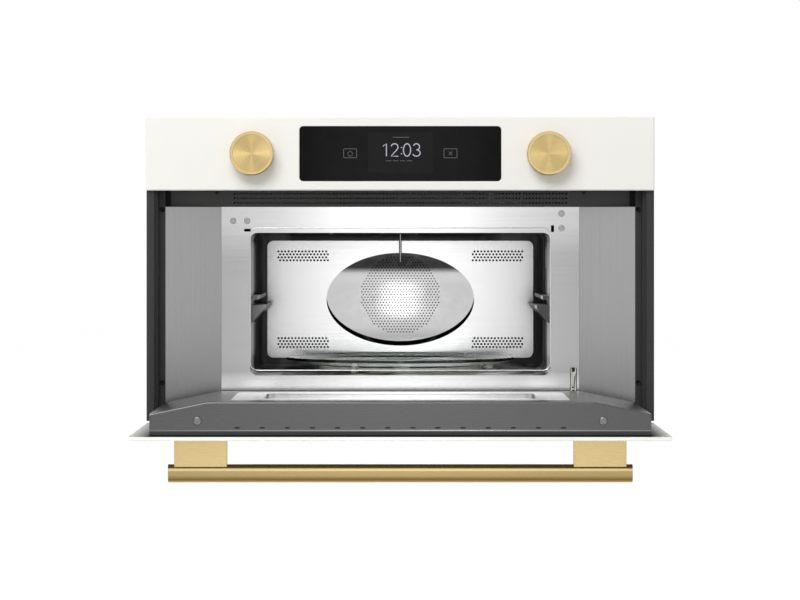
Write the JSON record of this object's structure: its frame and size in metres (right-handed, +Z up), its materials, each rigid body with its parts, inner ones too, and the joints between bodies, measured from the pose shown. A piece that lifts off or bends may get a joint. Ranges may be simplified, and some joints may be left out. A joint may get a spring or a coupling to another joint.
{
  "type": "built-in microwave oven",
  "caption": "Built-in combination microwave oven with a drop-down door, bar handle, turntable, display and turning knobs.",
  "frame": {"origin": "centre of the housing's base face, where it rests on the cabinet's shelf", "axes": "+X to the right seen from the room, -Y towards the room, +Z up; the door is at rest open"},
  "size_m": [0.758, 0.9171, 0.5236],
  "materials": {
    "zinc_sheet": "satin zinc-coated sheet",
    "bright_steel": "fine brushed",
    "wing_steel": "satin",
    "cavity_steel": "polished",
    "black_trim": "satin black",
    "white_panel": "polished white",
    "display_glass": "near-black gloss",
    "brass": "brushed",
    "brass_disc": "spun",
    "coated_glass": "white-backed, polished edge",
    "clear_glass": "clear",
    "lamp_glass": "frosted",
    "dark_plastic": "matte",
    "liner_steel": "satin",
    "seal_rubber": "matte",
    "board": "matte",
    "heater_tube": "oxidised",
    "motor_can": "satin",
    "copper": "enamelled copper",
    "light_plastic": "matte",
    "screw_steel": "polished",
    "aluminium": "satin"
  },
  "bodies": {
    "housing": {"housing_base": "zinc_sheet", "housing_cover": "zinc_sheet", "rear_panel": "zinc_sheet", "component_deck": "zinc_sheet", "front_frame": "bright_steel", "frame_screws": "screw_steel", "wing_left": "wing_steel", "wing_right": "wing_steel", "side_trims": "black_trim", "trim_bottom": "black_trim", "vent_strip": "black_trim", "panel_carrier": "dark_plastic", "control_panel": "white_panel", "display_lens": "display_glass", "control_board": "board", "encoders": "dark_plastic", "cavity_shell": "cavity_steel", "back_wall": "cavity_steel", "fan_cover": "cavity_steel", "fan_housing": "zinc_sheet", "ring_heater": "heater_tube", "convection_motor": "motor_can", "grill_element": "heater_tube", "temperature_probe": "screw_steel", "rack_supports": "cavity_steel", "cavity_lamp": "lamp_glass", "waveguide": "zinc_sheet", "magnetron": "aluminium", "transformer": "copper", "capacitor": "aluminium", "cooling_fan_housing": "dark_plastic", "turntable_motor": "motor_can", "terminal_block": "light_plastic", "cable_gland": "dark_plastic", "interlock_switch": "light_plastic", "hinge_brackets": "liner_steel"},
    "door": {"door_outer_glass": "coated_glass", "door_seal": "seal_rubber", "door_spacer": "dark_plastic", "door_liner": "liner_steel", "door_edge_screws": "screw_steel", "choke_cover": "dark_plastic", "door_inner_glass": "clear_glass", "door_screen": "black_trim", "handle_posts": "brass", "handle_bar": "brass", "hinge_arms": "liner_steel"},
    "knob_left": {"knob_left": "brass", "knob_disc_left": "brass_disc"},
    "knob_right": {"knob_right": "brass", "knob_disc_right": "brass_disc"},
    "turntable": {"turntable_tray": "clear_glass", "drive_coupler": "light_plastic"},
    "roller_ring": {"roller_ring": "light_plastic"},
    "roller_1": {"roller_1": "light_plastic"},
    "roller_2": {"roller_2": "light_plastic"},
    "roller_3": {"roller_3": "light_plastic"},
    "convection_fan": {"convection_fan": "cavity_steel"},
    "cooling_fan": {"cooling_fan": "dark_plastic"},
    "interlock_lever": {"interlock_lever": "screw_steel"}
  },
  "joints": [
    {"name": "door_hinge", "type": "hinge", "parent": "housing", "child": "door", "pos_m": [0, -0.307, -0.0056], "axis": [-1, 0, 0], "range_deg": [0, 90]},
    {"name": "left_knob_turn", "type": "hinge", "parent": "housing", "child": "knob_left", "pos_m": [-0.221, -0.33, 0.389], "axis": [0, -1, 0], "continuous": true},
    {"name": "right_knob_turn", "type": "hinge", "parent": "housing", "child": "knob_right", "pos_m": [0.221, -0.33, 0.389], "axis": [0, -1, 0], "continuous": true},
    {"name": "turntable_spin", "type": "hinge", "parent": "housing", "child": "turntable", "pos_m": [0, -0.069, 0.06], "axis": [0, 0, 1], "continuous": true},
    {"name": "roller_ring_turn", "type": "hinge", "parent": "housing", "child": "roller_ring", "pos_m": [0, -0.069, 0.06], "axis": [0, 0, 1], "continuous": true},
    {"name": "roller_1_spin", "type": "hinge", "parent": "roller_ring", "child": "roller_1", "pos_m": [0.139, -0.069, 0.0613], "axis": [1, 0, 0], "continuous": true},
    {"name": "roller_2_spin", "type": "hinge", "parent": "roller_ring", "child": "roller_2", "pos_m": [-0.0695, 0.05138, 0.0613], "axis": [-0.5, 0.866, 0], "continuous": true},
    {"name": "roller_3_spin", "type": "hinge", "parent": "roller_ring", "child": "roller_3", "pos_m": [-0.0695, -0.18938, 0.0613], "axis": [-0.5, -0.866, 0], "continuous": true},
    {"name": "convection_fan_spin", "type": "hinge", "parent": "housing", "child": "convection_fan", "pos_m": [0, 0.18, 0.1635], "axis": [0, 1, 0], "continuous": true},
    {"name": "cooling_fan_spin", "type": "hinge", "parent": "housing", "child": "cooling_fan", "pos_m": [0.2, 0.2, 0.351], "axis": [0, 1, 0], "continuous": true},
    {"name": "interlock_lever_rock", "type": "hinge", "parent": "housing", "child": "interlock_lever", "pos_m": [0.261, -0.249, 0.034], "axis": [-1, 0, 0], "range_deg": [0, 14]}
  ],
  "couplings": [
    {"joint": "roller_ring_turn", "follows": "turntable_spin", "ratio": 0.5},
    {"joint": "roller_1_spin", "follows": "turntable_spin", "ratio": -13.9},
    {"joint": "roller_2_spin", "follows": "turntable_spin", "ratio": -13.9},
    {"joint": "roller_3_spin", "follows": "turntable_spin", "ratio": -13.9},
    {"joint": "interlock_lever_rock", "follows": "door_hinge", "ratio": 0.15556}
  ]
}
